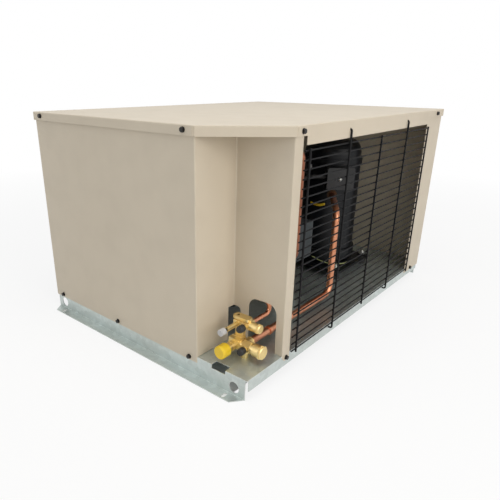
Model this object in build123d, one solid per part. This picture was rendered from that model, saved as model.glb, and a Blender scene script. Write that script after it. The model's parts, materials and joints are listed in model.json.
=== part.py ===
from build123d import *
import math
import os

# Outdoor refrigeration condensing unit in a hooded sheet-metal cabinet.
# Frame: +Z up, Z = 0 under the feet, -Y is the plain service panel, +X is the open wire-guard
# side, -X is the finned coil side. All lengths are in millimetres.

# Cabinet
cabinet_x, cabinet_y, cabinet_top = 645.0, 880.0, 500.0
guard_proud, roof_overhang = 8.5, 3.5
x_left, x_right = -cabinet_x / 2, cabinet_x / 2
y_front, y_rear = -cabinet_y / 2, cabinet_y / 2
recess_x, recess_y = 129.0, 116.0
x_recess, y_recess = x_right - recess_x, y_front + recess_y
panel_t, pan_t, roof_t = 1.2, 1.6, 1.5
panel_bottom, panel_top = 33.0, 497.0
lip_depth, guard_lip_depth = 18.7, 35.0

# Base pan and feet
deck = 46.0
side_flange_bottom, foot_width, foot_corner = 19.5, 24.0, 20.0
pan_x, pan_y = cabinet_x / 2 - panel_t, cabinet_y / 2 - panel_t
slot_width, slot_length = 8.0, 15.0
slot_x, slot_y = 276.0, pan_y + 13.0
rigging_hole_r, rigging_hole_z, rigging_inset = 12.0, 18.0, 33.0

# Wire guard
guard_y0, guard_y1 = -296.0, 332.0
wire_r, upright_r, wire_pitch, wire_count = 1.5, 2.1, 17.0, 25
wire_top = 455.0
upright_y = [-283.0, -128.0, 25.0, 176.0, 323.0]
hooked_uprights = [1, 3]
x_upright = x_right + guard_proud - upright_r
x_wire = x_upright - upright_r - wire_r

# Condenser coil, shroud and fan
coil_x0, coil_depth, coil_y, coil_top = x_left + 4.0, 44.0, 410.0, 468.0
fin_count, fin_gap = 90, 4.0
x_shroud = coil_x0 + coil_depth + 38.0
fan_z, fan_r, orifice_r = 257.0, 196.0, 202.0
shaft_r, motor_r, motor_length, x_motor = 6.35, 62.0, 95.0, x_shroud + 66.0

# Compressor
comp_x, comp_y, comp_r = x_right - 209.0, y_front + 653.0, 79.0
comp_base, comp_seam, comp_top = deck + 22.0, 358.0, 424.0
foot_pitch = 168.0

# Service valves, stem axes along X
suction_y, suction_z, liquid_y, liquid_z = y_front + 67.0, 71.5, y_front + 76.0, 115.0
stub_x, pipe_x = x_right - 79.0, x_right - 60.5
suction_port_x, liquid_port_x = x_right - 50.0, x_right - 59.5
suction_line_r, liquid_line_r, discharge_r = 8.0, 4.8, 6.35


def block(x0, x1, y0, y1, z0, z1):
    """Box between two opposite corners."""
    return Pos((x0 + x1) / 2, (y0 + y1) / 2, (z0 + z1) / 2) * Box(x1 - x0, y1 - y0, z1 - z0)


def rod(start, direction, radius, length):
    """Round bar from a start point along a direction."""
    return extrude(Plane(start, z_dir=direction) * Circle(radius), length)


def hexagon(start, direction, across_flats, length):
    """Hexagonal bar from a start point along a direction."""
    radius = across_flats / 2
    return extrude(Plane(start, z_dir=direction) * RegularPolygon(radius, 6, major_radius=False), length)


def bent_tube(points, radius, bend):
    """Solid round tube along straight runs joined by arcs."""
    path = FilletPolyline(*points, radius=bend)
    return sweep(Plane(path @ 0, z_dir=path % 0) * Circle(radius), path)


def turned(profile, start, direction):
    """Solid of revolution: profile is (radius, distance) pairs along the axis from its start."""
    outline = [(0, profile[0][1])] + profile + [(0, profile[-1][1])]
    lathe = revolve(Plane.XZ * make_face(Polyline(*outline, close=True)), Axis.Z)
    return Plane(start, z_dir=direction).location * lathe


def outline_face(points, corner):
    """Closed outline with rounded corners."""
    face = make_face(Polyline(*points, close=True))
    return fillet(face.vertices(), corner)


def save(name, shape):
    """Write one node."""
    shape.label = name
    export_step(shape, "parts/" + name + ".step")


os.makedirs("parts", exist_ok=True)

# ---------------------------------------------------------------- base pan
foot_y = pan_y + foot_width


def make_base_pan():
    """Deck with long front and rear legs turned out into feet, and shorter side flanges."""
    x0, x1 = -pan_x, pan_x
    pan = block(x0, x1, -pan_y, pan_y, deck - pan_t, deck)
    pan = fillet(pan.edges().filter_by(Axis.Z), 2.5)
    for side in (-1, 1):
        web = sorted((side * pan_y, side * (pan_y - pan_t)))
        pan += block(x0 + 5, x1 - 5, web[0], web[1], 0, deck)
        edge = side * foot_y
        foot = Polyline(
            (x0 + 5, side * (pan_y - pan_t)), (x0 + 5 + foot_corner, edge),
            (x1 - 5 - foot_corner, edge), (x1 - 5, side * (pan_y - pan_t)), close=True)
        pan += extrude(make_face(foot), amount=pan_t, dir=(0, 0, 1))
        flange = sorted((side * pan_x, side * (pan_x - pan_t)))
        pan += block(flange[0], flange[1], -pan_y + 5, pan_y - 5, side_flange_bottom, deck)
        for end in (-1, 1):
            slot = SlotOverall(slot_length, slot_width, rotation=90)
            pan -= Pos(end * slot_x, side * slot_y, -1) * extrude(slot, 5)
            hole_x = end * (cabinet_x / 2 - rigging_inset)
            pan -= rod((hole_x, side * (pan_y + 5), rigging_hole_z), (0, -side, 0), rigging_hole_r, 10)
    pan -= block(x_right - 91, x_right - 55, -pan_y - 1, y_front + 17.5, 37, deck + 1)
    return pan


# ---------------------------------------------------------------- painted shell
shell_points = [
    (x_left, y_front), (x_recess, y_front), (x_recess, y_recess), (x_right, y_recess),
    (x_right, y_rear), (x_left, y_rear)]
shell_outline = outline_face(shell_points, 2.5)
shell_ring = shell_outline - offset(shell_outline, -panel_t)
shell_wall = Pos(0, 0, panel_bottom) * extrude(shell_ring, panel_top - panel_bottom)


def window(width, height, radius):
    """Pipe window with a round-shouldered top, standing on Z = 0, in the XZ plane."""
    arch = Polyline((-width / 2, 0), (width / 2, 0), (width / 2, height), (-width / 2, height), close=True)
    face = make_face(arch)
    return fillet(face.vertices().sort_by(Axis.Y)[-2:], radius)


def make_front_panel():
    """Plain panel folded into the service recess and round the guard-side corner post."""
    keep = block(x_left - 1, x_right + 1, y_front - 1, y_front + 25, 0, panel_top + 1)
    keep += block(x_recess - 20, x_right + 1, y_front - 1, y_recess + 26, 0, panel_top + 1)
    panel = shell_wall & keep
    panel -= block(x_recess - 5, x_right - panel_t, y_front + panel_t, y_recess + 5, 0, deck + 0.2)
    tab_cut = Polyline((y_recess - 4, 0), (y_recess - 4, deck), (y_recess + 8, panel_bottom), (y_recess + 8, 0),
                       close=True)
    panel -= Pos(x_right - 5, 0, 0) * extrude(Plane.YZ * make_face(tab_cut), 10)
    arch = Plane.XZ * window(70.0, 154.0 - deck + 1, 22)
    panel -= Pos(x_right - 54, y_recess + 6, deck - 1) * extrude(arch, 12)
    notch = Plane.XZ * window(38.0, 78.0, 9)
    panel -= Pos(x_recess, y_recess + 6, deck - 1) * extrude(notch, 24)
    return panel


def make_rear_panel():
    """Plain end panel folded round the wide rear post on the guard side."""
    keep = block(0, x_right + 1, y_rear - 109, y_rear + 1, 0, panel_top + 1)
    keep += block(x_left - 1, 1, y_rear - 25, y_rear + 1, 0, panel_top + 1)
    return shell_wall & keep


def make_roof():
    """Flat hood with a lip all round, cut across the recess corner."""
    o = roof_overhang
    points = [
        (x_left - o, y_front - o), (x_recess + 1, y_front - o), (x_right + o, y_recess - 1),
        (x_right + o, y_rear + o), (x_left - o, y_rear + o)]
    outer = outline_face(points, 3)
    roof = Pos(0, 0, cabinet_top - lip_depth) * extrude(outer, lip_depth)
    roof = fillet(roof.faces().sort_by(Axis.Z)[-1].edges(), 2.4)
    inner = offset(outer, -roof_t)
    roof -= Pos(0, 0, cabinet_top - lip_depth - 1) * extrude(inner, lip_depth + 1 - roof_t)
    roof += block(x_right + o - roof_t, x_right + o, -291, 328, cabinet_top - guard_lip_depth, cabinet_top - 5)
    for y in (upright_y[i] for i in hooked_uprights):
        roof -= rod((x_right - 5, y, 482), (1, 0, 0), upright_r + 0.6, 20)
    for x, y in ((x_recess + 1, y_front - o), (x_right + o, y_recess - 1)):
        roof -= Pos(x, y, cabinet_top - 12) * Cylinder(1.6, 18)
    return roof


front_panel = make_front_panel()
rear_panel = make_rear_panel()
roof_panel = make_roof()
base_pan = make_base_pan()

# ---------------------------------------------------------------- screws
screw_head_af, screw_r = 8.0, 2.2


def screw(head, inward, length=9.0):
    """Hex washer-head sheet-metal screw; head is the point where the head meets the sheet."""
    out = tuple(-c for c in inward)
    body = rod(head, out, 5.2, 1.2) + hexagon(head, out, screw_head_af, 5.0)
    return body + rod(head, inward, screw_r, length)


roof_x, roof_y = x_right + roof_overhang, y_rear + roof_overhang
roof_screw_places = [((x, -roof_y, 491.5), (0, 1, 0)) for x in (x_right - 616, x_right - 153)]
roof_screw_places += [((x, roof_y, 491.5), (0, -1, 0)) for x in (x_left + 50, x_right - 50)]
roof_screw_places += [((roof_x, y, 490.0), (-1, 0, 0)) for y in (-307, 389)]
roof_screw_places += [((x_left - roof_overhang, y, 490.0), (1, 0, 0)) for y in (-426, 426)]
panel_screw_places = [((x, y_front, 40.5), (0, 1, 0)) for x in (x_right - 613, x_right - 384, x_right - 151)]
panel_screw_places += [((x, y_rear, 40.5), (0, -1, 0)) for x in (x_left + 40, 0, x_right - 40)]
panel_screw_places += [((x_right, y, 39.5), (-1, 0, 0)) for y in (-310, 374)]
panel_screw_places += [((x_left, y, 39.5), (1, 0, 0)) for y in (-427, 427)]


def drilled(part, places):
    """Clearance holes for the screws."""
    for head, inward in places:
        start = tuple(h - 6 * d for h, d in zip(head, inward))
        part -= rod(start, inward, screw_r + 0.2, 20)
    return part


front_places = [p for p in roof_screw_places + panel_screw_places if p[0][1] < -300]
rear_places = [p for p in roof_screw_places + panel_screw_places if p[0][1] > 300]
save("front_panel", drilled(front_panel, front_places))
save("rear_panel", drilled(rear_panel, rear_places))
save("roof_panel", drilled(roof_panel, roof_screw_places))
save("roof_screws", Compound([screw(h, d) for h, d in roof_screw_places]))
save("panel_screws", Compound([screw(h, d) for h, d in panel_screw_places]))

# ---------------------------------------------------------------- wire guard
wire_z = [wire_top - wire_pitch * i for i in range(wire_count)]


def make_guard():
    """Guard of level wires on uprights, two of which hook into the roof lip and the base pan."""
    guard = [rod((x_wire, guard_y0, z), (0, 1, 0), wire_r, guard_y1 - guard_y0) for z in wire_z]
    for i, y in enumerate(upright_y):
        low, high = wire_z[-1] - 4, wire_z[0] + 4
        if i in hooked_uprights:
            hook = [(x_right - 4, y, 482), (x_upright, y, 482), (x_upright, y, 36), (x_right - 6, y, 36)]
            guard.append(bent_tube(hook, upright_r, 4.5))
        else:
            guard.append(rod((x_upright, y, low), (0, 0, 1), upright_r, high - low))
    return Compound(guard)


save("wire_guard", make_guard())
for y in (upright_y[i] for i in hooked_uprights):
    base_pan -= rod((x_right - 12, y, 36), (1, 0, 0), upright_r + 0.6, 20)
save("base_pan", drilled(base_pan, panel_screw_places))

# ---------------------------------------------------------------- condenser coil
coil_x1 = coil_x0 + coil_depth
fin_pitch = 2 * coil_y / fin_count


def make_fin_pack():
    """Finned block: a comb of fins on the tube core, open on both air faces."""
    pack = block(coil_x0, coil_x1, -coil_y, coil_y, deck + 1, coil_top)
    for face_x in (coil_x0, coil_x1 - 5):
        cuts = [
            block(face_x, face_x + 5, y - fin_gap / 2, y + fin_gap / 2, deck, coil_top + 1)
            for y in (-coil_y + fin_pitch * (i + 0.5) for i in range(fin_count))]
        pack = pack.cut(*cuts)
    return pack


save("condenser_fins", make_fin_pack())
tube_rows, tube_pitch = 8, 50.0
for name, side in (("coil_end_plate_front", -1), ("coil_end_plate_rear", 1)):
    y0, y1 = sorted((side * coil_y, side * (coil_y + 1.5)))
    plate = block(coil_x0, coil_x1, y0, y1, deck, coil_top + 4)
    y0, y1 = sorted((side * (coil_y + 1.5), side * (coil_y - 14)))
    plate += block(coil_x0 - 1.5, coil_x0, y0, y1, deck, coil_top + 4)
    save(name, plate)


def return_bend(y, side, z):
    """Half ring that joins two neighbouring tubes outside the end plate."""
    x, r = coil_x0 + coil_depth / 2, tube_pitch / 4
    turn = ThreePointArc((x, y, z), (x, y + side * r, z + r), (x, y, z + 2 * r))
    return sweep(Plane(turn @ 0, z_dir=turn % 0) * Circle(4.8), turn)


bends = []
for side in (-1, 1):
    for row in range(tube_rows):
        z = 72 + row * tube_pitch + (tube_pitch / 2 if side > 0 else 0)
        if z + tube_pitch / 2 < coil_top:
            bends.append(return_bend(side * (coil_y + 1.5), side, z))
save("coil_return_bends", Compound(bends))

# ---------------------------------------------------------------- fan section
shroud_y, shroud_top = coil_y - 16.0, coil_top - 2


def make_shroud():
    """Plenum open to the coil, with a round hole for the bell mouth on the fan side."""
    outer = block(coil_x1 + 0.2, x_shroud, -shroud_y, shroud_y, deck, shroud_top)
    outer = fillet(outer.faces().sort_by(Axis.X)[-1].edges(), 4)
    shroud = outer - block(coil_x1, x_shroud - 1.5, -shroud_y + 1.5, shroud_y - 1.5, deck + 1.5, shroud_top - 1.5)
    return shroud - rod((x_shroud - 5, 0, fan_z), (1, 0, 0), orifice_r + 1.5, 10)


def make_bell_mouth():
    """Rolled ring that guides the air into the fan, with a flange on the shroud's face."""
    lip_r = orifice_r + 1.5
    mouth = Polyline((orifice_r, 0), (orifice_r, 24), (lip_r + 2, 24), (lip_r + 2, 22.5), (lip_r, 22.5),
                     (lip_r, 3), (lip_r + 3, 1.5), (lip_r + 5.5, 1.5), (lip_r + 5.5, 0), close=True)
    ring = revolve(Plane.XZ * make_face(mouth), Axis.Z)
    return Plane((x_shroud, 0, fan_z), z_dir=(1, 0, 0)).location * ring


save("fan_shroud", make_shroud())
save("bell_mouth", make_bell_mouth())
x_fan = x_shroud + 12.0


def make_fan():
    """Four pitched and cambered blades, cut round at the tip, on a pressed hub."""
    fan = rod((x_fan - 14, 0, fan_z), (1, 0, 0), 36, 26)
    chord, camber, sheet, pitch = 150.0, 14.0, 2.0, 24.0
    low = ThreePointArc((-chord / 2, 0), (0, camber), (chord / 2, 0))
    high = ThreePointArc((-chord / 2, sheet), (0, camber + sheet), (chord / 2, sheet))
    ends = [Line((x, 0), (x, sheet)) for x in (-chord / 2, chord / 2)]
    section = make_face([low, high] + ends)
    wedge = make_face(Polyline((-22, 25), (22, 25), (80, fan_r + 10), (-80, fan_r + 10), close=True))
    planform = extrude(Plane.XZ * wedge, 70, both=True)
    for angle in range(0, 360, 90):
        blade = Rot(0, 0, pitch) * extrude(Pos(0, -camber / 2) * section, fan_r + 10)
        blade &= planform
        blade = Rot(0, 90, 0) * Rot(0, 0, 90) * Rot(90, 0, 0) * blade
        fan += Pos(x_fan, 0, fan_z) * Rot(angle, 0, 0) * blade
    fan -= rod((x_fan - 60, 0, fan_z), (1, 0, 0), shaft_r, 120)
    return fan & rod((x_fan - 60, 0, fan_z), (1, 0, 0), fan_r, 120)


save("fan_blade", make_fan())
shaft_end = x_motor + 30
save("fan_shaft", rod((x_fan - 18, 0, fan_z), (1, 0, 0), shaft_r, shaft_end - x_fan + 18))
motor = turned([(24, 0), (motor_r - 8, 5), (motor_r, 14), (motor_r, motor_length - 14),
                (motor_r - 8, motor_length - 5), (24, motor_length)], (x_motor, 0, fan_z), (1, 0, 0))
motor -= rod((x_motor - 1, 0, fan_z), (1, 0, 0), shaft_r + 0.05, 33)
save("fan_motor", motor)


def make_motor_bracket():
    """Clamp band round the motor on four arms that reach back to the shroud."""
    band_x = x_motor + 34
    band = rod((band_x, 0, fan_z), (1, 0, 0), motor_r + 2.5, 26) - rod((band_x - 1, 0, fan_z), (1, 0, 0), motor_r, 28)
    reach = orifice_r + 18
    profile = Polyline((band_x + 20, motor_r + 1.5), (band_x + 20, motor_r + 12), (x_shroud + 40, reach),
                       (x_shroud, reach), (x_shroud, reach + 14), (x_shroud + 1.5, reach + 14),
                       (x_shroud + 1.5, reach + 1.5), (x_shroud + 41, reach + 1.5), (band_x + 23, motor_r + 12),
                       (band_x + 23, motor_r + 1.5), close=True)
    for angle in (45, 135, 225, 315):
        arm = extrude(Plane.XZ * make_face(profile), 9, both=True)
        band += Pos(0, 0, fan_z) * Rot(angle, 0, 0) * arm
    return band


save("motor_bracket", make_motor_bracket())

# ---------------------------------------------------------------- compressor
comp_axis = (comp_x, comp_y, 0)
foot_offsets = [(sx * foot_pitch / 2, sy * foot_pitch / 2) for sx in (-1, 1) for sy in (-1, 1)]
lower = turned([(comp_r - 16, comp_base + 4), (comp_r, comp_base + 16), (comp_r, comp_seam)], comp_axis, (0, 0, 1))
save("compressor_shell", lower)
shoulder, dome_steps = 38.0, 8
dome_profile = [(comp_r + 3, comp_seam), (comp_r + 3, comp_seam + 16), (comp_r - 1, comp_seam + 16)]
for step in range(dome_steps + 1):
    angle = math.pi / 2 * step / dome_steps
    across = comp_r - 1 - shoulder + shoulder * math.cos(angle)
    dome_profile.append((across, comp_top - shoulder + shoulder * math.sin(angle)))
save("compressor_cap", turned(dome_profile, comp_axis, (0, 0, 1)))
base_plate = extrude(Plane((comp_x, comp_y, comp_base)) * RectangleRounded(foot_pitch + 34, foot_pitch + 34, 17), 4)
for dx, dy in foot_offsets:
    base_plate -= rod((comp_x + dx, comp_y + dy, comp_base - 5), (0, 0, 1), 8, 12)
save("compressor_base", base_plate)
grommet_profile = [(13, 0), (13, 20.8), (7.9, 21.5), (7.9, 26.5), (11.5, 27), (11.5, 30)]
grommets, bolts = [], []
for dx, dy in foot_offsets:
    foot = (comp_x + dx, comp_y + dy, deck)
    rubber = turned(grommet_profile, foot, (0, 0, 1)) - rod(foot, (0, 0, 1), 4.2, 40)
    grommets.append(rubber)
    top = (foot[0], foot[1], deck + 30.1)
    bolts.append(rod(foot, (0, 0, 1), 4.0, 42) + rod(top, (0, 0, 1), 10, 1.8) + hexagon(top, (0, 0, 1), 13, 8))
save("compressor_grommets", Compound(grommets))
save("compressor_bolts", Compound(bolts))

# Terminal box on the flank that faces the guard, square to a radius of the shell.
facing = Plane((comp_x, comp_y, 0), x_dir=(math.sin(math.radians(49)), math.cos(math.radians(49)), 0), z_dir=(0, 0, 1))


def on_flank(part):
    """Place a part built about the compressor axis so that its -Y side faces the guard corner."""
    return facing.location * part


terminal_box = block(-34, 34, -comp_r - 30, -comp_r + 22, 301, 355) - Cylinder(comp_r + 0.2, 900)
save("terminal_box", on_flank(terminal_box))
cover = block(-36, 36, -comp_r - 36, -comp_r - 30, 299, 357)
cover = fillet(cover.edges().filter_by(Axis.Y), 5)
save("terminal_cover", on_flank(cover))
heater = turned([(comp_r + 5, 100), (comp_r + 5, 116)], comp_axis, (0, 0, 1)) - rod(comp_axis, (0, 0, 1), comp_r + 0.2, 200)
save("crankcase_heater", heater)

# ---------------------------------------------------------------- service valves

def make_valve(y, z, size, stem_end, port_x, neck_r):
    """Forged valve body along X: hexagon, neck, stem boss, mounting lug and gauge port."""
    body = hexagon((stub_x - 13 * size, y, z), (1, 0, 0), 25 * size, 26 * size)
    body += rod((stub_x, y, z), (1, 0, 0), 11.5 * size, stem_end - 22 - stub_x)
    body += hexagon((port_x - 9 * size, y, z), (1, 0, 0), 24 * size, 18 * size)
    body += rod((port_x, y, z), (1, 0, 0), neck_r, stem_end - 8 - port_x)
    body += rod((port_x, y, z), (0, -1, 0), 5.5, 24)
    return body


suction_end, liquid_end = x_right - 12.5, x_right - 27.5
suction_body = make_valve(suction_y, suction_z, 1.0, suction_end, suction_port_x, 10.3)
suction_body += rod((stub_x, suction_y, suction_z), (0, -1, 0), 10.5, 22)
suction_body += rod((pipe_x, suction_y, suction_z), (0, 1, 0), 10.5, 20)
suction_body += block(stub_x - 13, stub_x + 13, suction_y - 12, suction_y + 12, suction_z + 8, suction_z + 14)
suction_body += rod((stub_x + 20, suction_y, deck), (0, 0, 1), 8, suction_z - deck)
suction_body -= rod((stub_x, suction_y - 40, suction_z), (0, 1, 0), 8.05, 25)
suction_body -= rod((pipe_x, suction_y + 10, suction_z), (0, 1, 0), suction_line_r, 12)
suction_body -= rod((suction_end - 40, suction_y, suction_z), (1, 0, 0), 6.05, 60)
suction_body += rod((stub_x, suction_y - 21.9, suction_z), (0, -1, 0), 9.5, 18)
suction_body -= rod((stub_x, suction_y - 45, suction_z), (0, 1, 0), 8.05, 30)
save("suction_valve_body", suction_body)

liquid_body = make_valve(liquid_y, liquid_z, 0.8, liquid_end, liquid_port_x, 6.5)
lug = block(stub_x - 14, liquid_port_x + 6, liquid_y - 9, liquid_y + 9, liquid_z + 9, liquid_z + 15)
lug = fillet(lug.edges().filter_by(Axis.Z), 5)
liquid_body += lug
liquid_body -= rod((stub_x - 5, liquid_y, liquid_z + 5), (0, 0, 1), 3.3, 12)
liquid_body += rod((stub_x, liquid_y, liquid_z), (0, -1, 0), 4.8, 44)
liquid_body += rod((pipe_x, liquid_y, liquid_z), (0, 1, 0), 7, 16)
liquid_body -= rod((stub_x, liquid_y - 46, liquid_z), (0, 1, 0), 3.8, 30)
liquid_body -= rod((pipe_x, liquid_y + 8, liquid_z), (0, 1, 0), liquid_line_r, 10)
liquid_body -= rod((liquid_end - 34, liquid_y, liquid_z), (1, 0, 0), 5.05, 60)
save("liquid_valve_body", liquid_body)
yoke = block(pipe_x - 26, pipe_x - 8, suction_y + 3, suction_y + 14, suction_z + 14, liquid_z - 9)
save("valve_spacer", yoke - liquid_body)

for name, y, z, end, r, cap_r, port_x in (
        ("suction", suction_y, suction_z, suction_end, 6.0, 13.5, suction_port_x),
        ("liquid", liquid_y, liquid_z, liquid_end, 5.0, 9.5, liquid_port_x)):
    stem = rod((end - 38 if r > 5.5 else end - 32, y, z), (1, 0, 0), r, 18)
    stem += extrude(Plane((end - 22, y, z), z_dir=(1, 0, 0)) * Rectangle(r, r), 12)
    save(name + "_valve_stem", stem)
    cap = rod((end - 21.5, y, z), (1, 0, 0), cap_r, 21.5) - rod((end - 22, y, z), (1, 0, 0), cap_r - 2.6, 18)
    cap = chamfer(cap.faces().sort_by(Axis.X)[-1].edges(), 1.2)
    cap += hexagon((end - 6, y, z), (1, 0, 0), cap_r * 2.05, 3.0)
    save(name + "_stem_cap", cap)
    port_y = y - 24.4
    port_cap = turned([(7.0, 0), (7.6, 2), (7.6, 11), (6.2, 13), (6.2, 15)], (port_x, port_y + 9, z), (0, -1, 0))
    port_cap -= rod((port_x, port_y + 10, z), (0, -1, 0), 5.8, 10.9)
    save(name + "_port_cap", port_cap)

yellow_y = y_front + 10
plug = rod((stub_x, yellow_y, suction_z), (0, 1, 0), 14, 21)
plug = chamfer(plug.faces().sort_by(Axis.Y)[0].edges(), 2.0)
plug -= rod((stub_x, yellow_y + 4, suction_z), (0, 1, 0), 9.85, 30)
save("suction_line_plug", plug)
grey_y = y_front + 12
plug = rod((stub_x, grey_y, liquid_z), (0, 1, 0), 7, 13)
plug = chamfer(plug.faces().sort_by(Axis.Y)[0].edges(), 1.0)
plug -= rod((stub_x, grey_y + 3, liquid_z), (0, 1, 0), 5.15, 30)
save("liquid_line_plug", plug)

# ---------------------------------------------------------------- refrigerant piping
riser_x, riser_y, riser_top = pipe_x, y_front + 414.0, 282.0
toward = Vector(comp_x - riser_x, comp_y - riser_y, 0)
inlet = Vector(comp_x, comp_y, riser_top) - toward.normalized() * (comp_r + 18)
suction_line = bent_tube(
    [(pipe_x, suction_y + 10.1, suction_z), (riser_x, riser_y, suction_z), (riser_x, riser_y, riser_top),
     tuple(inlet)], suction_line_r, 26)
suction_line += rod((pipe_x, y_recess + 32, suction_z), (0, 1, 0), suction_line_r + 2, 8)
save("suction_line", suction_line)
suction_fitting = rod(tuple(inlet), tuple(toward), 13, 22)
suction_fitting -= rod(comp_axis, (0, 0, 1), comp_r + 0.1, 500)
save("suction_fitting", suction_fitting)

drop_x, drop_y = x_right - 26.0, y_front + 183.0
line_x, header_y = -130.0, -coil_y + 8.0
discharge = bent_tube(
    [(comp_x, comp_y, comp_top), (comp_x, comp_y, comp_top + 28), (comp_x, drop_y, comp_top + 28),
     (drop_x, drop_y, comp_top + 28), (drop_x, drop_y, 232), (line_x, drop_y, 232), (line_x, header_y, 232),
     (line_x, header_y, 430), (coil_x1, header_y, 430)], discharge_r, 19)
save("discharge_line", discharge)

receiver_x, receiver_y, receiver_r = 40.0, -178.0, 57.0
receiver = turned([(receiver_r - 18, deck + 22), (receiver_r, deck + 40), (receiver_r, 270),
                   (receiver_r - 18, 290)], (receiver_x, receiver_y, 0), (0, 0, 1))
save("liquid_receiver", receiver)
foot_ring = turned([(receiver_r + 12, deck), (receiver_r + 12, deck + 2), (receiver_r - 6, deck + 3),
                    (receiver_r - 6, deck + 30)], (receiver_x, receiver_y, 0), (0, 0, 1))
save("receiver_foot", foot_ring - rod((receiver_x, receiver_y, 0), (0, 0, 1), receiver_r - 12, 66) - receiver)

drier_y, drier_z = y_recess + 34.0, liquid_z + 24.0
drier = turned([(7, 0), (7, 8), (25, 20), (25, 108), (7, 120), (7, 128)], (20, drier_y, drier_z), (1, 0, 0))
drier -= rod((0, drier_y, drier_z), (1, 0, 0), liquid_line_r, 34)
drier -= rod((141, drier_y, drier_z), (1, 0, 0), liquid_line_r, 34)
save("filter_drier", drier)
liquid_line = bent_tube(
    [(pipe_x, liquid_y + 8.1, liquid_z), (pipe_x, drier_y, liquid_z), (pipe_x, drier_y, drier_z),
     (141.1, drier_y, drier_z)], liquid_line_r, 11.5)
save("liquid_line", liquid_line)
glass = hexagon((184, drier_y, drier_z), (-1, 0, 0), 22, 26) + rod((171, drier_y, drier_z), (0, 0, 1), 10, 17)
save("sight_glass", glass - rod((200, drier_y, drier_z), (-1, 0, 0), liquid_line_r, 60))
coil_line = bent_tube(
    [(coil_x1, header_y, 96), (line_x, header_y, 96), (line_x, receiver_y, 96),
     (receiver_x - receiver_r, receiver_y, 96)], liquid_line_r, 14)
save("coil_outlet_line", coil_line)
receiver_line = bent_tube(
    [(receiver_x, receiver_y, 290.1), (receiver_x, receiver_y, 330), (-20, receiver_y, 330),
     (-20, drier_y, 330), (-20, drier_y, drier_z), (33.9, drier_y, drier_z)], liquid_line_r, 14)
save("receiver_line", receiver_line)

# ---------------------------------------------------------------- electrical parts
box_x0, box_x1, box_z0, box_z1 = -70.0, 150.0, 250.0, 462.0
box_y0, box_y1 = y_front + 16, y_front + 96
case = block(box_x0, box_x1, box_y0 + 1.2, box_y1, box_z0, box_z1)
case -= block(box_x0 + 1.2, box_x1 - 1.2, box_y0, box_y1 - 1.2, box_z0 + 1.2, box_z1 - 1.2)
hanger = block(box_x0 + 20, box_x1 - 20, y_front + panel_t, box_y1, box_z1, box_z1 + 1.5)
save("electrical_box", case + hanger)
save("electrical_cover", block(box_x0 - 0.5, box_x1 + 0.5, box_y0 - 0.2, box_y0 + 1.1, box_z0 - 0.5, box_z1 - 0.1))
back = box_y1 - 1.2
contactor = block(-52, 6, back - 48, back, 360, 430) - block(-30, -16, back - 49, back - 40, 380, 410)
save("contactor", contactor)
save("contactor_armature", block(-29.5, -16.5, back - 50, back - 44, 380.5, 409.5))
save("run_capacitor", rod((60, back, 400), (0, -1, 0), 24, 62))
blocks = [block(90, 138, back - 22, back, 300, 330), block(20, 80, back - 22, back, 300, 330)]
save("terminal_blocks", Compound(blocks))

control_x, control_y = x_right - 106.0, y_front + 388.0
stand = block(control_x - 47, control_x - 45, control_y - 74, control_y + 3, deck, 262)
stand = fillet(stand.edges().filter_by(Axis.X).group_by(Axis.Z)[-1], 12)
stand += block(control_x - 72, control_x - 45, control_y - 74, control_y + 3, deck, deck + 2)
save("control_stand", stand)
control = block(control_x - 45, control_x, control_y - 72, control_y, 168, 258)
save("pressure_control", fillet(control.edges().filter_by(Axis.X), 5))

# ---------------------------------------------------------------- wiring
flank = Vector(math.cos(math.radians(49)), -math.sin(math.radians(49)), 0)
along = Vector(-math.sin(math.radians(49)), -math.cos(math.radians(49)), 0)
gland = Vector(comp_x, comp_y, 330) + flank * (comp_r + 12) + along * 34
turn = gland + along * 40
save("compressor_harness", bent_tube([tuple(gland), tuple(turn), (turn.X, box_y1, 330)], 6, 22))
motor_end = x_motor + motor_length
lead = [(motor_end, -20, fan_z + 6), (motor_end + 30, -20, fan_z + 6), (motor_end + 30, box_y1, fan_z + 6)]
save("fan_motor_lead", bent_tube(lead, 3.5, 12))
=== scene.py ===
# %% [markdown]
# # Outdoor condensing unit
#
# The solids of this cabinet come in already built, at their real size and place.
# This lesson gives them their finishes, adds the small things that are easier as
# meshes, and lights them. Everything is in metres, with Z up, the plain service
# panel facing -Y and the open wire guard facing +X.

# %% Load the solids
import json
import math
import bpy
import bmesh
from mathutils import Matrix, Vector


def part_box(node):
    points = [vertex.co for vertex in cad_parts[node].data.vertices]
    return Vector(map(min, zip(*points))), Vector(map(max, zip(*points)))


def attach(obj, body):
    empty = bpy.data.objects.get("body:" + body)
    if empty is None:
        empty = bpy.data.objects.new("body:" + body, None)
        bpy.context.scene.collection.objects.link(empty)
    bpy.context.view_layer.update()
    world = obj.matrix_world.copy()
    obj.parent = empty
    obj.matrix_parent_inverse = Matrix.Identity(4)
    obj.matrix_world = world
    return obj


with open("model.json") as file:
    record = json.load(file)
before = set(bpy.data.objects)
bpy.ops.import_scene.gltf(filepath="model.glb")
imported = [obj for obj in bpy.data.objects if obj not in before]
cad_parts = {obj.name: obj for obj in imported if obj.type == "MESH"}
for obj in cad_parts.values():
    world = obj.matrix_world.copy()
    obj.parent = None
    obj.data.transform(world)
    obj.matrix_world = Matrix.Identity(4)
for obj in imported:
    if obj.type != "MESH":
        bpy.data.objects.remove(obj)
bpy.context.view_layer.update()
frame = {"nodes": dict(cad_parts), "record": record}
nodes = frame["nodes"]

# %% [markdown]
# ## Camera
# A product shot of a cabinet is usually taken from above one corner, so that roof
# and two sides show. One could aim a camera with a Track To constraint, but writing
# its place and turn keeps the upright edges exactly as they should lean. The small
# lens shift slides the picture without changing the perspective. The Standard view
# shows colours as they are set, where the default one would soften white to grey.

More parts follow.
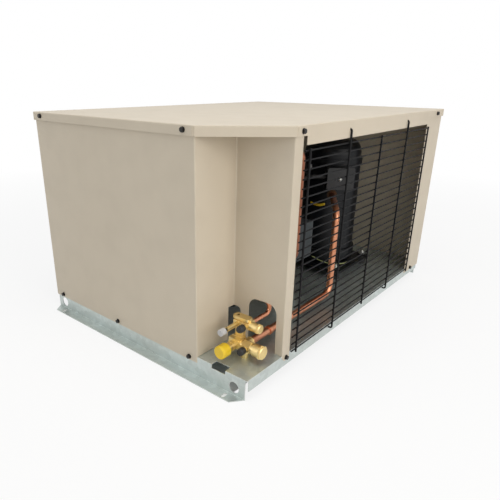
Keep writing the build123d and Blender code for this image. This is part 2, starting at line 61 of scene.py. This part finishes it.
# %% Camera
camera_data = bpy.data.cameras.new("corner_view")
camera = bpy.data.objects.new("corner_view", camera_data)
bpy.context.scene.collection.objects.link(camera)
camera.location = (0.7716, -1.0452, 0.5700)
camera.rotation_euler = (1.1988, -0.0065, 0.7133)
camera_data.lens = 34.37
camera_data.sensor_width = 36.0
camera_data.shift_x = 0.0621
camera_data.shift_y = 0.0337
bpy.context.scene.camera = camera
bpy.context.scene.view_settings.view_transform = "Standard"
print("camera at", tuple(round(c, 3) for c in camera.location))

# %% [markdown]
# ## Floor and sky
# The unit stands on a seamless pale floor. A plain white plane would turn grey where
# the lamps don't reach, so the floor is part paper and part glow, and the glow is
# seen by the camera only. The paper half still catches the shadow under the feet, and
# the glow stops under the unit, so that the holes in the legs look into the dark.

# %% Floor
def plane(name, size, z):
    half = size / 2
    mesh = bpy.data.meshes.new(name)
    corners = [(-half, -half, z), (half, -half, z), (half, half, z), (-half, half, z)]
    mesh.from_pydata(corners, [], [(0, 1, 2, 3)])
    obj = bpy.data.objects.new(name, mesh)
    bpy.context.scene.collection.objects.link(obj)
    return obj


def seen_by_camera(tree):
    """1 for camera, glossy and transmission rays, and 0 for the light that falls on things."""
    path = tree.nodes.new("ShaderNodeLightPath")
    either = tree.nodes.new("ShaderNodeMath")
    either.operation = "MAXIMUM"
    tree.links.new(path.outputs["Is Camera Ray"], either.inputs[0])
    tree.links.new(path.outputs["Is Glossy Ray"], either.inputs[1])
    last = tree.nodes.new("ShaderNodeMath")
    last.operation = "MAXIMUM"
    tree.links.new(either.outputs[0], last.inputs[0])
    tree.links.new(path.outputs["Is Transmission Ray"], last.inputs[1])
    return last.outputs[0]


def outside_unit(tree):
    """The share of glow: 0 beneath the unit, 0.82 around it, and rising to 1 further off."""
    place = tree.nodes.new("ShaderNodeTexCoord").outputs["Object"]
    axes = tree.nodes.new("ShaderNodeSeparateXYZ")
    tree.links.new(place, axes.inputs[0])
    tests = []
    for axis, half in (("X", 0.283), ("Y", 0.461)):
        size = tree.nodes.new("ShaderNodeMath")
        size.operation = "ABSOLUTE"
        tree.links.new(axes.outputs[axis], size.inputs[0])
        past = tree.nodes.new("ShaderNodeMath")
        past.operation = "GREATER_THAN"
        past.inputs[1].default_value = half
        tree.links.new(size.outputs[0], past.inputs[0])
        tests.append(past.outputs[0])
    either = tree.nodes.new("ShaderNodeMath")
    either.operation = "MAXIMUM"
    tree.links.new(tests[0], either.inputs[0])
    tree.links.new(tests[1], either.inputs[1])
    glow_share = tree.nodes.new("ShaderNodeMath")
    glow_share.operation = "MULTIPLY"
    away = tree.nodes.new("ShaderNodeVectorMath")
    away.operation = "LENGTH"
    tree.links.new(place, away.inputs[0])
    rise = tree.nodes.new("ShaderNodeMapRange")
    rise.inputs["From Min"].default_value = 0.8
    rise.inputs["From Max"].default_value = 2.4
    rise.inputs["To Min"].default_value = 0.82
    rise.inputs["To Max"].default_value = 1.0
    tree.links.new(away.outputs["Value"], rise.inputs["Value"])
    tree.links.new(rise.outputs["Result"], glow_share.inputs[1])
    tree.links.new(either.outputs[0], glow_share.inputs[0])
    return glow_share.outputs[0]


floor = plane("studio_floor", 30.0, -0.0006)
paper = bpy.data.materials.new("studio_paper")
paper.use_nodes = True
tree = paper.node_tree
tree.nodes.clear()
out = tree.nodes.new("ShaderNodeOutputMaterial")
diffuse = tree.nodes.new("ShaderNodeBsdfDiffuse")
diffuse.inputs["Color"].default_value = (0.9, 0.9, 0.89, 1)
glow = tree.nodes.new("ShaderNodeEmission")
glow.inputs["Color"].default_value = (1, 1, 1, 1)
glow.inputs["Strength"].default_value = 1.0
share = tree.nodes.new("ShaderNodeMath")
share.operation = "MULTIPLY"
tree.links.new(outside_unit(tree), share.inputs[1])
tree.links.new(seen_by_camera(tree), share.inputs[0])
mix = tree.nodes.new("ShaderNodeMixShader")
tree.links.new(share.outputs[0], mix.inputs[0])
tree.links.new(diffuse.outputs[0], mix.inputs[1])
tree.links.new(glow.outputs[0], mix.inputs[2])
tree.links.new(mix.outputs[0], out.inputs["Surface"])
floor.data.materials.append(paper)
print("floor", round(floor.dimensions.x, 1), "m across")

# %% [markdown]
# ## Sky
# The sky does two jobs. A weak fill lights the faces that no lamp reaches, and what the
# camera sees behind the unit is plain white. Mixing two backgrounds by the kind of ray
# keeps the white out of the light that falls on the metal.

# %% Sky
world = bpy.data.worlds.new("studio_sky")
bpy.context.scene.world = world
world.use_nodes = True
tree = world.node_tree
tree.nodes.clear()
out = tree.nodes.new("ShaderNodeOutputWorld")
fill = tree.nodes.new("ShaderNodeBackground")
fill.inputs["Color"].default_value = (0.97, 0.98, 1.0, 1)
fill.inputs["Strength"].default_value = 0.38
white = tree.nodes.new("ShaderNodeBackground")
white.inputs["Color"].default_value = (1, 1, 1, 1)
white.inputs["Strength"].default_value = 1.0
mix = tree.nodes.new("ShaderNodeMixShader")
tree.links.new(seen_by_camera(tree), mix.inputs[0])
tree.links.new(fill.outputs[0], mix.inputs[1])
tree.links.new(white.outputs[0], mix.inputs[2])
tree.links.new(mix.outputs[0], out.inputs["Surface"])

# %% [markdown]
# ## Lamps
# Sheet metal shows its shape by how bright each face is. A broad lamp overhead
# brightens the roof, a warm one beside the guard lights that side, and a weak one in
# front keeps the service panel a step darker. Large lamps give soft shadows.

# %% Lamps
def soft_lamp(name, place, target, size, power, colour):
    data = bpy.data.lights.new(name, "AREA")
    data.shape = "SQUARE"
    data.size = size
    data.energy = power
    data.color = colour
    lamp = bpy.data.objects.new(name, data)
    lamp.location = place
    lamp.rotation_euler = (Vector(target) - Vector(place)).to_track_quat("-Z", "Y").to_euler()
    bpy.context.scene.collection.objects.link(lamp)


soft_lamp("roof_light", (0.3, -0.4, 2.6), (0, 0, 0.4), 2.0, 30, (1.0, 1.0, 0.98))
soft_lamp("guard_light", (2.4, -0.5, 1.2), (0.2, 0, 0.25), 1.4, 22, (1.0, 0.96, 0.91))
soft_lamp("panel_light", (-0.6, -2.6, 1.1), (0, 0, 0.2), 1.6, 7, (0.96, 0.98, 1.0))
print("three lamps")

# %% [markdown]
# ## Building a finish
# Each finish is a Principled shader fed by patterns. Image textures would need to be
# unwrapped onto every folded sheet; patterns made from the position in space need
# nothing and never stretch. These helpers add one pattern at a time.

# %% Pattern helpers
class Finish:
    """One material: a Principled shader with its colour, roughness and bump patterns."""

    def __init__(self, name, roughness=0.5, metallic=0.0, specular=0.5):
        self.material = bpy.data.materials.new(name)
        self.material.use_nodes = True
        self.tree = self.material.node_tree
        self.shader = self.tree.nodes["Principled BSDF"]
        self.shader.inputs["Roughness"].default_value = roughness
        self.shader.inputs["Metallic"].default_value = metallic
        self.shader.inputs["Specular IOR Level"].default_value = specular
        self.place = self.tree.nodes.new("ShaderNodeTexCoord").outputs["Object"]
        self.normal = None

    def stretched(self, scale):
        mapping = self.tree.nodes.new("ShaderNodeMapping")
        mapping.inputs["Scale"].default_value = scale
        self.tree.links.new(self.place, mapping.inputs["Vector"])
        return mapping.outputs["Vector"]

    def noise(self, scale, detail=3.0, vector=None):
        node = self.tree.nodes.new("ShaderNodeTexNoise")
        node.inputs["Scale"].default_value = scale
        node.inputs["Detail"].default_value = detail
        self.tree.links.new(vector or self.place, node.inputs["Vector"])
        return node.outputs["Fac"]

    def flakes(self, scale, vector=None):
        node = self.tree.nodes.new("ShaderNodeTexVoronoi")
        node.inputs["Scale"].default_value = scale
        self.tree.links.new(vector or self.place, node.inputs["Vector"])
        return node

    def ramp(self, fac, stops):
        node = self.tree.nodes.new("ShaderNodeValToRGB")
        while len(node.color_ramp.elements) < len(stops):
            node.color_ramp.elements.new(0.5)
        for element, (position, colour) in zip(node.color_ramp.elements, stops):
            element.position = position
            element.color = (*colour, 1) if len(colour) == 3 else colour
        self.tree.links.new(fac, node.inputs["Fac"])
        return node.outputs["Color"]

    def blend(self, fac, first, second):
        node = self.tree.nodes.new("ShaderNodeMix")
        node.data_type = "RGBA"
        if isinstance(fac, float):
            node.inputs["Factor"].default_value = fac
        else:
            self.tree.links.new(fac, node.inputs["Factor"])
        self.tree.links.new(first, node.inputs["A"])
        self.tree.links.new(second, node.inputs["B"])
        return node.outputs["Result"]

    def span(self, fac, low, high):
        node = self.tree.nodes.new("ShaderNodeMapRange")
        node.inputs["To Min"].default_value = low
        node.inputs["To Max"].default_value = high
        self.tree.links.new(fac, node.inputs["Value"])
        return node.outputs["Result"]

    def edges(self, width):
        """Bright where the surface turns a corner: a worn edge on the brass, and a painted highlight along
        the bends of the zinc.
        """
        node = self.tree.nodes.new("ShaderNodeBevel")
        node.inputs["Radius"].default_value = width
        geometry = self.tree.nodes.new("ShaderNodeNewGeometry")
        dot = self.tree.nodes.new("ShaderNodeVectorMath")
        dot.operation = "DOT_PRODUCT"
        self.tree.links.new(node.outputs["Normal"], dot.inputs[0])
        self.tree.links.new(geometry.outputs["Normal"], dot.inputs[1])
        return self.ramp(dot.outputs["Value"], [(0.86, (1, 1, 1)), (0.985, (0, 0, 0))])

    def colour(self, socket):
        self.tree.links.new(socket, self.shader.inputs["Base Color"])

    def roughness(self, socket):
        self.tree.links.new(socket, self.shader.inputs["Roughness"])

    def bump(self, height, strength, distance=0.001):
        node = self.tree.nodes.new("ShaderNodeBump")
        node.inputs["Strength"].default_value = strength
        node.inputs["Distance"].default_value = distance
        self.tree.links.new(height, node.inputs["Height"])
        if self.normal is not None:
            self.tree.links.new(self.normal, node.inputs["Normal"])
        self.normal = node.outputs["Normal"]
        self.tree.links.new(self.normal, self.shader.inputs["Normal"])


finishes = {}

# %% [markdown]
# ## Powder coat
# The cabinet is steel sprayed with cream powder and baked. Close up it has the fine
# ripple of orange peel; from further off the colour drifts a little, and dust lies in
# patches. Two noises for colour and one for the ripple are enough.

# %% Powder coat
def powder_coat(name, light, dark):
    finish = Finish(name, roughness=0.48, specular=0.4)
    drift = finish.ramp(finish.noise(2.2, 4), [(0.3, dark), (0.7, light)])
    speck = finish.ramp(finish.noise(900, 2), [(0.35, tuple(c * 0.93 for c in light)), (0.6, light)])
    base = finish.blend(0.35, drift, speck)
    dust = finish.ramp(finish.noise(14, 6), [(0.45, light), (0.85, tuple(c * 0.82 for c in dark))])
    finish.colour(finish.blend(0.25, base, dust))
    finish.roughness(finish.span(finish.noise(35, 4), 0.4, 0.56))
    finish.bump(finish.noise(420, 2), 0.16, 0.0004)
    finish.bump(finish.noise(5, 2), 0.12, 0.002)
    return finish.material


finishes["cream_panel"] = powder_coat("cream_powder_coat", (0.655, 0.575, 0.455), (0.60, 0.52, 0.405))

# %% [markdown]
# ## Galvanised steel
# Hot-dip zinc freezes into flat crystals, the spangle, each tilted its own way. A
# Voronoi pattern has just such cells: its random cell colour drives both the tint and
# the roughness. A stretched noise adds the faint rolling lines.

# %% Galvanised steel
finish = Finish("spangled_zinc", roughness=0.42, metallic=0.75)
cells = finish.flakes(95)
tint = finish.ramp(cells.outputs["Color"], [(0.0, (0.44, 0.49, 0.48)), (1.0, (0.68, 0.74, 0.73))])
stain = finish.ramp(finish.noise(9, 6), [(0.35, (0.60, 0.66, 0.64)), (0.7, (0.48, 0.51, 0.47))])
body = finish.blend(0.55, tint, stain)
# The near-white at the turned edges is a painted highlight along the bends of the sheet.
painted_bend_highlight = finish.ramp(finish.noise(3, 2), [(0.0, (0.85, 0.86, 0.82)), (1.0, (0.9, 0.9, 0.86))])
finish.colour(finish.blend(finish.edges(0.0012), body, painted_bend_highlight))
finish.roughness(finish.span(cells.outputs["Distance"], 0.34, 0.52))
finish.bump(finish.noise(160, 3, finish.stretched((0.1, 1, 1))), 0.08, 0.0004)
finishes["galvanised"] = finish.material

# %% [markdown]
# ## Copper
# Drawn copper tube darkens to brown in patches and where it has been brazed. It is a
# metal, so its colour comes from the reflection itself. A coarse noise makes the patches
# and a fine one the grain; a single noise would leave the tube looking painted.

# %% Copper
finish = Finish("drawn_copper", roughness=0.3, metallic=1.0)
patch = finish.ramp(
    finish.noise(18, 5),
    [(0.3, (0.86, 0.40, 0.24)), (0.55, (0.74, 0.31, 0.17)), (0.8, (0.36, 0.15, 0.09))])
grain = finish.ramp(finish.noise(260, 2), [(0.4, (0.8, 0.36, 0.2)), (0.7, (0.62, 0.26, 0.15))])
finish.colour(finish.blend(0.3, patch, grain))
finish.roughness(finish.span(finish.noise(30, 4), 0.2, 0.42))
finish.bump(finish.noise(300, 2), 0.06, 0.0003)
finishes["copper"] = finish.material

# %% [markdown]
# ## Brass
# Forged brass is satin with a sandy skin, and brighter where handling has rubbed its
# edges. The edge mask finds those places from the shape, which saves painting them on,
# and a very fine bump gives the skin.

# %% Brass
finish = Finish("forged_brass", roughness=0.34, metallic=1.0)
skin = finish.ramp(
    finish.noise(40, 5),
    [(0.3, (0.84, 0.66, 0.30)), (0.6, (0.74, 0.56, 0.25)), (0.85, (0.46, 0.33, 0.15))])
shine = finish.ramp(finish.noise(70, 2), [(0.0, (0.98, 0.78, 0.40)), (1.0, (1.0, 0.84, 0.5))])
finish.colour(finish.blend(finish.edges(0.0012), skin, shine))
finish.roughness(finish.span(finish.noise(90, 4), 0.26, 0.5))
finish.bump(finish.noise(650, 2), 0.22, 0.0003)
finishes["brass"] = finish.material

# %% [markdown]
# ## Black enamel, plastics and rubber
# The compressor, guard, caps and motor are all black, yet no two blacks are alike:
# enamel is glossy with dust on it, dipped wire is soft, plastic is satin. One function
# makes them, with gloss, dust and ripple as its arguments.

# %% Plain coloured finishes
def coated(name, colour, dusty, gloss, ripple, ripple_size=300, specular=0.5, metallic=0.0):
    finish = Finish(name, roughness=gloss, specular=specular, metallic=metallic)
    shade = tuple(c * 0.72 for c in colour)
    base = finish.ramp(finish.noise(25, 4), [(0.3, shade), (0.7, colour)])
    dust = finish.ramp(finish.noise(60, 5), [(0.45, colour), (0.8, dusty)])
    finish.colour(finish.blend(0.5, base, dust))
    finish.roughness(finish.span(finish.noise(80, 3), gloss * 0.85, min(1.0, gloss * 1.25)))
    finish.bump(finish.noise(ripple_size, 2), ripple, 0.0004)
    return finish.material


finishes["black_paint"] = coated(
    "black_enamel", (0.006, 0.007, 0.009), (0.016, 0.018, 0.020), 0.36, 0.12, specular=0.28)
finishes["black_screw"] = coated(
    "black_oxide", (0.013, 0.012, 0.012), (0.04, 0.035, 0.03), 0.4, 0.1, 900, metallic=0.4)
finishes["black_plastic"] = coated(
    "black_moulding", (0.016, 0.016, 0.017), (0.03, 0.03, 0.03), 0.42, 0.15, 700)
finishes["rubber_black"] = coated(
    "black_rubber", (0.02, 0.02, 0.02), (0.06, 0.055, 0.05), 0.75, 0.2, 500)
finishes["yellow_plastic"] = coated(
    "yellow_moulding", (0.93, 0.62, 0.02), (0.98, 0.74, 0.08), 0.33, 0.05, 300)
finishes["grey_plastic"] = coated(
    "grey_moulding", (0.56, 0.55, 0.54), (0.66, 0.65, 0.64), 0.45, 0.05, 300)
finishes["drier_paint"] = coated("drier_enamel", (0.05, 0.10, 0.18), (0.1, 0.14, 0.2), 0.35, 0.1)
finishes["control_case"] = coated(
    "control_enamel", (0.045, 0.055, 0.06), (0.08, 0.09, 0.095), 0.5, 0.15, 600, specular=0.3)
finishes["zinc_steel"] = coated(
    "zinc_plated", (0.62, 0.62, 0.58), (0.8, 0.8, 0.76), 0.3, 0.1, 500, metallic=0.9)

# %% [markdown]
# ## Fins and fan blades
# Condenser fins are thin aluminium leaves, a couple of millimetres apart. Cutting every
# leaf would give millions of faces; a fine wave across the block bends the light the
# same way, and its dark bands are painted shade in the gaps between the leaves. The fan blades are plain
# rolled aluminium with long drawn scratches.

# %% Aluminium
finish = Finish("fin_leaves", roughness=0.4, metallic=0.9)
wave = finish.tree.nodes.new("ShaderNodeTexWave")
wave.bands_direction = "Y"
wave.inputs["Scale"].default_value = 150
wave.inputs["Distortion"].default_value = 0.6
finish.tree.links.new(finish.place, wave.inputs["Vector"])
# The near-black end of this ramp is painted shade in the gaps between the leaves.
finish.colour(finish.ramp(wave.outputs["Fac"], [(0.1, (0.08, 0.08, 0.085)), (0.6, (0.66, 0.67, 0.68))]))
finish.bump(wave.outputs["Fac"], 0.6, 0.001)
finishes["fin_aluminium"] = finish.material
finish = Finish("rolled_aluminium", roughness=0.35, metallic=1.0)
finish.colour(finish.ramp(finish.noise(30, 5), [(0.3, (0.72, 0.73, 0.74)), (0.7, (0.55, 0.56, 0.57))]))
finish.bump(finish.noise(200, 2, finish.stretched((1, 0.1, 1))), 0.1, 0.0004)
finishes["blade_aluminium"] = finish.material

# %% [markdown]
# ## Dressing the solids
# The record names a finish for each solid, so one loop dresses them all. Three solids
# get a finish of their own: the guard is dipped wire, duller than enamel, the discharge
# line of the compressor is copper that heat has browned, and its suction fitting is brass darkened nearly to
# black as painted shade, for it sits in the shadow inside the cabinet.

# %% Put the finishes on
own_finish = {
    "wire_guard": coated(
        "dipped_wire", (0.006, 0.006, 0.007), (0.014, 0.014, 0.014), 0.6, 0.1, 600, specular=0.2),
    "discharge_line": coated(
        "heat_darkened_copper", (0.34, 0.13, 0.07), (0.20, 0.08, 0.05), 0.42, 0.08, 300, metallic=0.8),
    # The suction fitting's near-black brass is painted shade, for it sits in the shadow inside the cabinet.
    "suction_fitting": coated(
        "brass_in_painted_shade", (0.07, 0.04, 0.02), (0.16, 0.09, 0.04), 0.5, 0.1, 400, metallic=0.8)}
slot_of = {part["node"]: part["material_slot"] for part in frame["record"]["subparts"]}
for name, solid in nodes.items():
    solid.data.materials.clear()
    solid.data.materials.append(own_finish.get(name, finishes[slot_of[name]]))
print(len(set(slot_of.values())), "finishes on", len(nodes), "solids")

# %% [markdown]
# ## Tools for small pieces
# Beads, rings, wires and tabs are all made from a few loops of points. A curve with a
# bevel would also do for wires, but building a mesh directly gives even facets. Each new
# piece rides on a body and wears the finish it is given.

# %% Piece tools
def add_piece(name, mesh_builder, slot_name, body="cabinet", material=None):
    mesh = bpy.data.meshes.new(name)
    for face in mesh_builder.faces:
        face.smooth = True
    bmesh.ops.recalc_face_normals(mesh_builder, faces=mesh_builder.faces)
    mesh_builder.to_mesh(mesh)
    mesh_builder.free()
    piece = bpy.data.objects.new(name, mesh)
    bpy.context.scene.collection.objects.link(piece)
    mesh.materials.append(material or finishes[slot_name])
    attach(piece, body)
    print(name, len(mesh.polygons), "faces")
    return piece


def across(direction):
    """Two unit vectors square to a direction."""
    direction = Vector(direction).normalized()
    side = direction.orthogonal().normalized()
    return side, direction.cross(side)


def join_loops(builder, first, second):
    """A band of faces between two loops of points."""
    for k in range(len(first)):
        after = (k + 1) % len(first)
        builder.faces.new((first[k], first[after], second[after], second[k]))


def tube(builder, points, radius, sides=8):
    """A closed round wire through the points."""
    points = [Vector(p) for p in points]
    side, up = across(points[1] - points[0])
    loops = []
    for i, point in enumerate(points):
        along = (points[min(i + 1, len(points) - 1)] - points[max(i - 1, 0)]).normalized()
        side = (side - along * side.dot(along)).normalized()
        up = along.cross(side)
        turns = [2 * math.pi * k / sides for k in range(sides)]
        loops.append([
            builder.verts.new(point + radius * (math.cos(a) * side + math.sin(a) * up)) for a in turns])
    for a, b in zip(loops, loops[1:]):
        join_loops(builder, a, b)
    builder.faces.new(loops[0])
    builder.faces.new(loops[-1])


def ring(builder, centre, axis, radius, thick, steps=48, sides=8):
    """A bead of weld or solder around a tube."""
    centre, axis = Vector(centre), Vector(axis).normalized()
    side, up = across(axis)
    loops = []
    for i in range(steps):
        out = math.cos(2 * math.pi * i / steps) * side + math.sin(2 * math.pi * i / steps) * up
        turns = [2 * math.pi * k / sides for k in range(sides)]
        loops.append([builder.verts.new(
            centre + out * (radius + thick * math.cos(a)) + axis * thick * math.sin(a)) for a in turns])
    for i in range(steps):
        join_loops(builder, loops[i], loops[(i + 1) % steps])


# %% [markdown]
# ## Soft paths for wires
# A wire that hangs has no corners. A Bezier curve object would need its handles set by
# hand; a Catmull-Rom spline passes through every point given, so the points alone are
# enough to lay a wire.

# %% Soft path
def smooth_path(points, per_span=6):
    """A soft curve through the points, for a wire that hangs."""
    points = [Vector(p) for p in points]
    ends = [2 * points[0] - points[1]] + points + [2 * points[-1] - points[-2]]
    path = []
    for a, b, c, d in zip(ends, ends[1:], ends[2:], ends[3:]):
        for i in range(per_span):
            t = i / per_span
            path.append(0.5 * (
                2 * b + (c - a) * t + (2 * a - 5 * b + 4 * c - d) * t * t + (3 * b - a - 3 * c + d) * t ** 3))
    return path + [points[-1]]

# %% [markdown]
# ## Welds of the guard
# Each level wire is spot welded to each upright, and the weld squeezes out as a small
# bead. They could be scattered with instances; a loop over both sets of wires puts one
# bead at every crossing, and the places come from the guard's own box.

# %% Guard welds
low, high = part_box("wire_guard")
upright_thick, into_wire, bead_radius = 0.0042, 0.0004, 0.0019
upright_ys = (-0.283, -0.128, 0.025, 0.176, 0.323)
wire_x = high[0] - upright_thick - into_wire
end_points = [v.co for v in nodes["wire_guard"].data.vertices if v.co.y < low[1] + 0.00005]
wire_heights = sorted({round(point.z, 5) for point in end_points})
wire_centres = []
for z in wire_heights:
    if not wire_centres or z - wire_centres[-1][0] > 0.008:
        wire_centres.append([z, z])
    wire_centres[-1][1] = z
welds = bmesh.new()
for z in ((a + b) / 2 for a, b in wire_centres):
    for y in upright_ys:
        spot = Matrix.Translation((wire_x, y, z)) @ Matrix.Diagonal((0.9, 1.35, 1.0, 1.0))
        bmesh.ops.create_icosphere(welds, subdivisions=1, radius=bead_radius, matrix=spot)
add_piece("guard_welds", welds, slot_of["wire_guard"], material=own_finish["wire_guard"])
print(len(wire_centres), "wires by", len(upright_ys), "uprights")

# %% [markdown]
# ## Compressor seams
# A hermetic shell is a cup and a cap joined by one weld all round, and the feet are
# welded on below. A plain ring would look machined, so its thickness could be varied;
# at this size a slim ring in the same enamel reads as the weld.

# %% Compressor seams
low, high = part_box("compressor_cap")
centre_x, centre_y = (low[0] + high[0]) / 2, (low[1] + high[1]) / 2
seam = bmesh.new()
cap_radius = (high[0] - low[0]) / 2
ring(seam, (centre_x, centre_y, low[2]), (0, 0, 1), cap_radius - 0.0005, 0.0016, 96)
shell_low, shell_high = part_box("compressor_shell")
shell_radius = (shell_high[0] - shell_low[0]) / 2
ring(seam, (centre_x, centre_y, shell_low[2] + 0.0012), (0, 0, 1), shell_radius, 0.0022, 96)
add_piece("compressor_welds", seam, slot_of["compressor_shell"])

# %% [markdown]
# ## Brazed joints
# Where copper enters a valve, filler metal freezes in a small collar. It is made as a
# ring around the tube, at the face of the valve, in the brass finish.

# %% Brazed joints
braze = bmesh.new()
collars = (
    ("suction_line", "suction_valve_body", 0.010, 0.0102),
    ("liquid_line", "liquid_valve_body", 0.0048, 0.0050))
for line, valve, tube_radius, collar_radius in collars:
    face_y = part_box(valve)[1][1]
    tube_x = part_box(line)[1][0] - tube_radius
    tube_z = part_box(line)[0][2] + tube_radius
    ring(braze, (tube_x, face_y, tube_z), (0, 1, 0), collar_radius, 0.0011, 32)
add_piece("brazed_collars", braze, "brass")

# %% [markdown]
# ## Ribs of the port caps
# The black caps are turned by finger, so they have ribs. Cutting grooves would take a
# boolean for each; thin bars laid around the cap give the same grip, and they ride with
# the cap when it comes off.

# %% Port cap ribs
rib_count = 18
for cap in ("suction_port_cap", "liquid_port_cap"):
    low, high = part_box(cap)
    middle = Vector(((low[0] + high[0]) / 2, 0, (low[2] + high[2]) / 2))
    reach = (high[2] - low[2]) / 2
    ribs = bmesh.new()
    for k in range(rib_count):
        turn = 2 * math.pi * k / rib_count
        spot = middle + Vector((math.cos(turn), 0, math.sin(turn))) * (reach - 0.0002)
        tube(ribs, [(spot.x, low[1] + 0.003, spot.z), (spot.x, high[1] - 0.004, spot.z)], 0.00045, 6)
    add_piece(cap + "_ribs", ribs, slot_of[cap], cap)

# %% [markdown]
# ## Wires at the compressor
# Two yellow leads come out at the side of the shell, and a pale earth lead crosses its
# foot. Each is a soft curve through a few points laid close to the metal, which keeps a
# hanging wire from looking like bent rod.

# %% Leads
yellow = bmesh.new()
for drop in (0.0, 0.0035):
    lead = [
        (0.100, 0.1315, 0.252 - drop), (0.113, 0.1300, 0.2495 - drop),
        (0.128, 0.1310, 0.2485 - drop), (0.143, 0.1365, 0.2530 - drop)]
    tube(yellow, smooth_path(lead), 0.0014)
add_piece("yellow_leads", yellow, "yellow_plastic")
pale = coated("earth_lead", (0.42, 0.47, 0.20), (0.62, 0.64, 0.50), 0.5, 0.05)
earth = bmesh.new()
lead = [
    (0.118, 0.1305, 0.0930), (0.145, 0.1320, 0.0850), (0.172, 0.1410, 0.0800),
    (0.195, 0.165, 0.0780), (0.2065, 0.200, 0.0790)]
tube(earth, smooth_path(lead), 0.0016)
add_piece("earth_lead", earth, "yellow_plastic", material=pale)

# %% [markdown]
# ## Plug and terminal screw
# A small white plug joins leads at the side of the shell, and one zinc screw holds the
# terminal cover. The plug is a cube with its edges bevelled, turned to lie flat on the
# round shell. The screw is two short tubes along the direction in which the cover faces.

# %% Plug and terminal screw
white = coated("white_moulding", (0.62, 0.63, 0.62), (0.72, 0.72, 0.70), 0.4, 0.05)
plug = bmesh.new()
shell_turn = math.atan2(-0.95, -0.33) + math.pi / 2
face = Matrix.Translation((0.0883, 0.1351, 0.350)) @ Matrix.Rotation(shell_turn, 4, "Z")
bmesh.ops.create_cube(plug, size=1.0, matrix=face @ Matrix.Diagonal((0.010, 0.006, 0.012, 1.0)))
bmesh.ops.bevel(plug, geom=plug.edges[:], offset=0.0009, segments=2, affect="EDGES")
add_piece("lead_plug", plug, "grey_plastic", material=white)
screw = bmesh.new()
out = Vector((0.66, -0.75, 0)).normalized()
base = Vector((0.187, 0.1245, 0.328))
tube(screw, [base - out * 0.0005, base + out * 0.0016], 0.0052, 20)
tube(screw, [base + out * 0.0014, base + out * 0.0040], 0.0038, 6)
add_piece("terminal_screw", screw, "zinc_steel")

# %% [markdown]
# ## Corner tabs of the hood
# The lip is folded from one sheet and closed at the two cut corners by short tabs,
# which show as a fine line and a small step. Modelling the fold as a cut would need the
# sheet opened; a thin plate on the lip has the same edge and the same shadow.

# %% Corner tabs
roof_low, roof_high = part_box("roof_panel")
tab_top, tab_low = roof_high[2] - 0.0032, roof_high[2] - 0.0180
tabs = bmesh.new()
for x, y, size_x, size_y in (
        (0.1795, roof_low[1] - 0.00015, 0.022, 0.0005),
        (roof_high[0] + 0.00015, -0.3130, 0.0005, 0.016)):
    spot = Matrix.Translation((x, y, (tab_top + tab_low) / 2))
    scale = Matrix.Diagonal((size_x, size_y, tab_top - tab_low, 1.0))
    bmesh.ops.create_cube(tabs, size=1.0, matrix=spot @ scale)
tab_piece = add_piece("hood_corner_tabs", tabs, slot_of["roof_panel"])
for face in tab_piece.data.polygons:
    face.use_smooth = False
